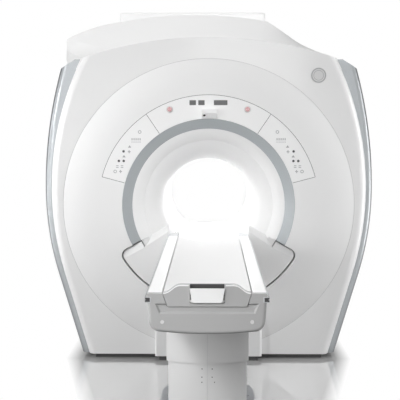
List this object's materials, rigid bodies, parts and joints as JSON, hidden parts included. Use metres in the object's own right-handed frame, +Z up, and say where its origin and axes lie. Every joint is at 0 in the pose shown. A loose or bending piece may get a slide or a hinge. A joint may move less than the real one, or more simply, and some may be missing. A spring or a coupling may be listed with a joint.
{
  "type": "mri scanner",
  "caption": "Ring-shaped magnetic resonance scanner with a round bore, control band and lifting patient table whose dished cradle slides into the bore.",
  "frame": {"origin": "centre of the bounding box on the floor", "axes": "+Z up, +Y along the bore from the patient table towards the back of the gantry, +X to the right seen from the table"},
  "size_m": [2.15, 4.022, 2.33],
  "materials": {
    "cover_white": "gloss",
    "surround_white": "gloss",
    "trim_silver": "satin silver paint",
    "ring_silver": "satin silver paint",
    "panel_white": "satin",
    "dock_grey": "satin",
    "window_grey": "gloss",
    "key_grey": "matt",
    "stop_red": "gloss",
    "bezel_grey": "satin",
    "lens_dark": "gloss",
    "plinth_dark": "matt paint",
    "liner_white": "satin",
    "light_strip": "frosted",
    "coil_copper": "bare copper",
    "resin": "cast resin",
    "steel": "brushed",
    "table_white": "gloss",
    "end_grey": "satin",
    "cradle_white": "gloss",
    "rail_aluminium": "anodised",
    "pedestal_white": "satin",
    "base_grey": "satin paint"
  },
  "bodies": {
    "scanner": {"front_cover": "cover_white", "side_trim_right": "trim_silver", "side_trim_left": "trim_silver", "crown_cover": "cover_white", "hood": "cover_white", "side_panel_right": "cover_white", "side_panel_left": "cover_white", "rear_cover": "cover_white", "service_box": "cover_white", "plinth": "plinth_dark", "bore_surround": "surround_white", "display_panel": "panel_white", "display_windows": "window_grey", "keypad_right": "panel_white", "keypad_left": "panel_white", "stop_bezels": "bezel_grey", "laser_housing": "panel_white", "laser_lens": "lens_dark", "badge_disc": "bezel_grey", "bore_ring": "ring_silver", "front_funnel": "surround_white", "apron": "surround_white", "dock_panel": "dock_grey", "bridge": "liner_white", "dock_rails": "rail_aluminium", "bore_liner": "liner_white", "bore_lights": "light_strip", "rear_funnel": "surround_white", "body_coil": "coil_copper", "gradient_coil": "resin", "warm_bore_tube": "steel", "vacuum_vessel": "steel", "helium_vessel": "steel", "magnet_windings": "coil_copper", "cold_head": "steel", "magnet_feet": "steel", "table_base": "base_grey", "lift_column_outer": "steel", "lower_pedestal_cover": "pedestal_white", "dock_block": "dock_grey", "dock_foot": "plinth_dark"},
    "table": {"lift_column_inner": "steel", "upper_pedestal_cover": "pedestal_white", "table_pan": "table_white", "rail_right": "table_white", "rail_left": "table_white", "accessory_rails": "rail_aluminium", "end_cover": "end_grey", "screw_caps": "bezel_grey"},
    "cradle_board": {"cradle": "cradle_white", "cradle_end_cap": "end_grey"},
    "handle": {"cradle_handle": "panel_white"},
    "push_right_1": {"key_right_1": "key_grey"},
    "push_right_2": {"key_right_2": "key_grey"},
    "push_right_3": {"key_right_3": "key_grey"},
    "push_left_1": {"key_left_1": "key_grey"},
    "push_left_2": {"key_left_2": "key_grey"},
    "push_left_3": {"key_left_3": "key_grey"},
    "stop_right": {"stop_button_right": "stop_red"},
    "stop_left": {"stop_button_left": "stop_red"}
  },
  "joints": [
    {"name": "table_lift", "type": "slide", "parent": "scanner", "child": "table", "axis": [0, 0, 1], "range_m": [-0.2, 0]},
    {"name": "cradle_slide", "type": "slide", "parent": "table", "child": "cradle_board", "axis": [0, 1, 0], "range_m": [0, 1.7]},
    {"name": "handle_pull", "type": "hinge", "parent": "cradle_board", "child": "handle", "pos_m": [0, -1.993, 0.782], "axis": [1, 0, 0], "range_deg": [0, 12], "stiffness_Nm_per_rad": 3},
    {"name": "key_right_1_press", "type": "slide", "parent": "scanner", "child": "push_right_1", "axis": [0, 1, 0], "range_m": [0, 0.0015], "stiffness_N_per_m": 600},
    {"name": "key_right_2_press", "type": "slide", "parent": "scanner", "child": "push_right_2", "axis": [0, 1, 0], "range_m": [0, 0.0015], "stiffness_N_per_m": 600},
    {"name": "key_right_3_press", "type": "slide", "parent": "scanner", "child": "push_right_3", "axis": [0, 1, 0], "range_m": [0, 0.0015], "stiffness_N_per_m": 600},
    {"name": "key_left_1_press", "type": "slide", "parent": "scanner", "child": "push_left_1", "axis": [0, 1, 0], "range_m": [0, 0.0015], "stiffness_N_per_m": 600},
    {"name": "key_left_2_press", "type": "slide", "parent": "scanner", "child": "push_left_2", "axis": [0, 1, 0], "range_m": [0, 0.0015], "stiffness_N_per_m": 600},
    {"name": "key_left_3_press", "type": "slide", "parent": "scanner", "child": "push_left_3", "axis": [0, 1, 0], "range_m": [0, 0.0015], "stiffness_N_per_m": 600},
    {"name": "stop_right_press", "type": "slide", "parent": "scanner", "child": "stop_right", "axis": [0, 1, 0], "range_m": [0, 0.003], "stiffness_N_per_m": 1200},
    {"name": "stop_left_press", "type": "slide", "parent": "scanner", "child": "stop_left", "axis": [0, 1, 0], "range_m": [0, 0.003], "stiffness_N_per_m": 1200}
  ]
}
